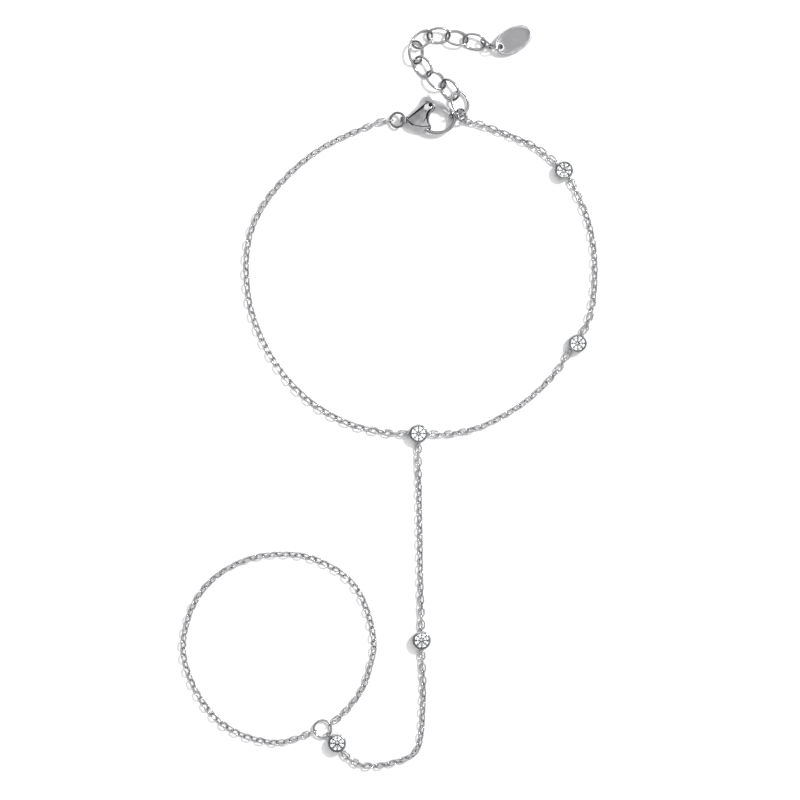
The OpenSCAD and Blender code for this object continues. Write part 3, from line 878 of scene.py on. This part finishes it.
    def plate_across(self, r, h):
        """A scratch cylinder along Y through the eye."""
        m = (Matrix.Translation((self.eye_at, 0, 0))
             @ Matrix.Rotation(math.radians(90), 4, "X"))
        return solid("eye", *moved(lathe(plate(r, h), turns=64), m))

    def body(self, material):
        """The body with its bore, slot, opening, eye and hook."""
        body = self.blank()
        cut(body, disc("bore", *self.pivot, self.bore_r, self.bore_h))
        cut(body, disc("slot", *self.pivot, self.slot_r, self.slot_h))
        cut(body, self.opening())
        cut(body, self.plate_across(self.eye_r, self.eye_t), "UNION")
        cut(body, self.plate_across(self.eye_hole_r, 2 * self.eye_t))
        cut(body, self.hook(), "UNION")
        return finished(body, self.at, material, BRACELET)

    def lever(self, material):
        """The lever: an arm, a hub and a thumb tab, with its edges broken."""
        lever = disc("lever_arm", *self.lever_back_at, self.lever_back_r, self.lever_t, turns=200)
        reach = disc("reach", *self.pivot, self.lever_reach, 2 * self.lever_t, turns=200)
        cut(lever, reach, "INTERSECT")
        x, y = self.pivot
        far = x + self.lever_reach + self.spare_right
        room = [(x, 0), (far, 0), (far, self.spare_above), (x, self.spare_above)]
        cut(lever, solid("room", *prism(room, -self.lever_t, self.lever_t)), "INTERSECT")
        tab = [(x + across, y + up) for across, up in self.tab]
        thumb = solid("thumb", *prism(tab, -self.lever_t / 2, self.lever_t / 2))
        cut(lever, disc("hub", *self.pivot, self.lever_hub_r, self.lever_t), "UNION")
        cut(lever, disc("inner", 0, 0, self.opening_r, 2 * self.lever_t, turns=160))
        for part, edge in ((lever, self.arm_edge), (thumb, self.tab_edge)):
            change(part, "BEVEL", width=edge, segments=self.edge_steps, limit_method="ANGLE",
                   angle_limit=math.radians(50))
        cut(lever, thumb, "UNION")
        cut(lever, disc("lever_bore", *self.pivot, self.lever_bore_r, 2 * self.lever_t))
        return finished(lever, self.at, material, LEVER)

    def execute(self, context):
        polished = steel("clasp_finish", darken=0.68)
        tumbled = steel("lever_finish", darken=0.85, rough=0.22)
        dress(["clasp_rivet"], polished)
        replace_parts(self.body(polished), "clasp_body")
        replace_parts(self.lever(tumbled), "clasp_lever")
        return {"FINISHED"}


class BRACELET_OT_tag(Maker, bpy.types.Operator):
    """Makes the oval end tag, with a bare brushed face and a polished rim"""

    bl_idname = "bracelet.tag"
    bl_label = "Tag"

    # In mm, about the tag's hole, as the solid has it
    hole_at = (13.0195, 61.72)
    length, width = 6.6, 4.0
    thickness = 0.5
    # The hole's middle lies in from the end, with a low boss round it
    hole_in, hole_r, boss, boss_sunk = 0.8, 0.45, 0.15, 0.02
    # The tag's direction in degrees, and how much higher its hole lies than its far end
    heading, rise = 29, 0.99
    floor_gap = 0.02
    # Radius and height of the upper half, for a round plate of the tag's width
    profile = ((0, 0.175), (1.2, 0.173), (1.7, 0.168), (1.745, 0.178), (1.78, 0.21), (1.81, 0.236),
               (1.85, 0.249), (1.89, 0.247), (1.94, 0.232), (1.98, 0.19), (2.0, 0.13))
    # The brushed face ends at this radius of the round plate, and this near the boss
    face_r, boss_slack = 1.71, 0.01

    def on_face(self, p):
        """Whether a point of the flat tag, about its hole, lies on its brushed face."""
        across = (p.x - self.length / 2 + self.hole_in) * self.width / self.length
        return (math.hypot(across, p.y) < self.face_r
                and math.hypot(p.x, p.y) > self.hole_r + self.boss - self.boss_slack)

    def execute(self, context):
        whole = [*self.profile, *((r, -z) for r, z in reversed(self.profile))]
        m = (Matrix.Translation((self.length / 2 - self.hole_in, 0, 0))
             @ Matrix.Diagonal((self.length / self.width, 1, 1, 1)))
        tag = solid("tag_plate", *moved(lathe(whole, turns=128), m))
        boss_r, boss_h = self.hole_r + self.boss, self.thickness - self.boss_sunk
        cut(tag, disc("boss", 0, 0, boss_r, boss_h), "UNION")
        cut(tag, disc("hole", 0, 0, self.hole_r, 2 * self.thickness))
        faces = [self.on_face(face.center) for face in tag.data.polygons]
        lean = math.asin(self.rise / (self.length - self.hole_in))
        turn = math.radians(self.heading)
        tag.data.transform(Matrix.Rotation(turn, 4, "Z") @ Matrix.Rotation(lean, 4, "Y"))
        z = self.floor_gap + self.rise + self.thickness / 2 * math.cos(lean)
        rim = steel("tag_rim_finish", darken=0.9, rough=0.03)
        brushed = steel("tag_face_finish", darken=0.38, scratches=1.0,
                        grain_turn=-turn, grain_scale=(0.3, 4, 1))
        finished(tag, (*self.hole_at, z), rim, BRACELET)
        tag.data.materials.append(brushed)
        for face, is_brushed in zip(tag.data.polygons, faces):
            face.material_index = 1 if is_brushed else 0
        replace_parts(tag, "tag")
        return {"FINISHED"}


class BRACELET_PT_panel(bpy.types.Panel):
    """Lists the bracelet's pieces"""

    bl_idname = "BRACELET_PT_panel"
    bl_label = "Hand chain bracelet"
    bl_space_type = "VIEW_3D"
    bl_region_type = "UI"
    bl_category = "Bracelet"

    def draw(self, context):
        for group in GROUPS:
            box = self.layout.box()
            settings = getattr(context.scene, group)
            for name in type(settings).__annotations__:
                box.prop(settings, name)
        for operator in OPERATORS:
            self.layout.operator(operator.bl_idname)


GROUPS = {
    "bracelet_chain": ChainSizes,
    "bracelet_steel": SteelLooks,
    "bracelet_stone": StoneLooks,
    "bracelet_stage": StageLooks,
}
OPERATORS = [
    BRACELET_OT_stage, BRACELET_OT_chains, BRACELET_OT_finger_chain, BRACELET_OT_rings,
    BRACELET_OT_extender, BRACELET_OT_settings, BRACELET_OT_stones, BRACELET_OT_clasp,
    BRACELET_OT_tag,
]


def register():
    for cls in [*GROUPS.values(), *OPERATORS, BRACELET_PT_panel]:
        bpy.utils.register_class(cls)
    for name, group in GROUPS.items():
        setattr(bpy.types.Scene, name, bpy.props.PointerProperty(type=group))


def unregister():
    for name in GROUPS:
        delattr(bpy.types.Scene, name)
    for cls in reversed([*GROUPS.values(), *OPERATORS, BRACELET_PT_panel]):
        bpy.utils.unregister_class(cls)


def main():
    """Makes the bracelet's looks in order."""
    register()
    bpy.ops.bracelet.stage()
    bpy.ops.bracelet.chains()
    bpy.ops.bracelet.finger_chain()
    bpy.ops.bracelet.rings()
    bpy.ops.bracelet.extender()
    bpy.ops.bracelet.settings()
    bpy.ops.bracelet.stones()
    bpy.ops.bracelet.clasp()
    bpy.ops.bracelet.tag()


if __name__ == "__main__":
    main()
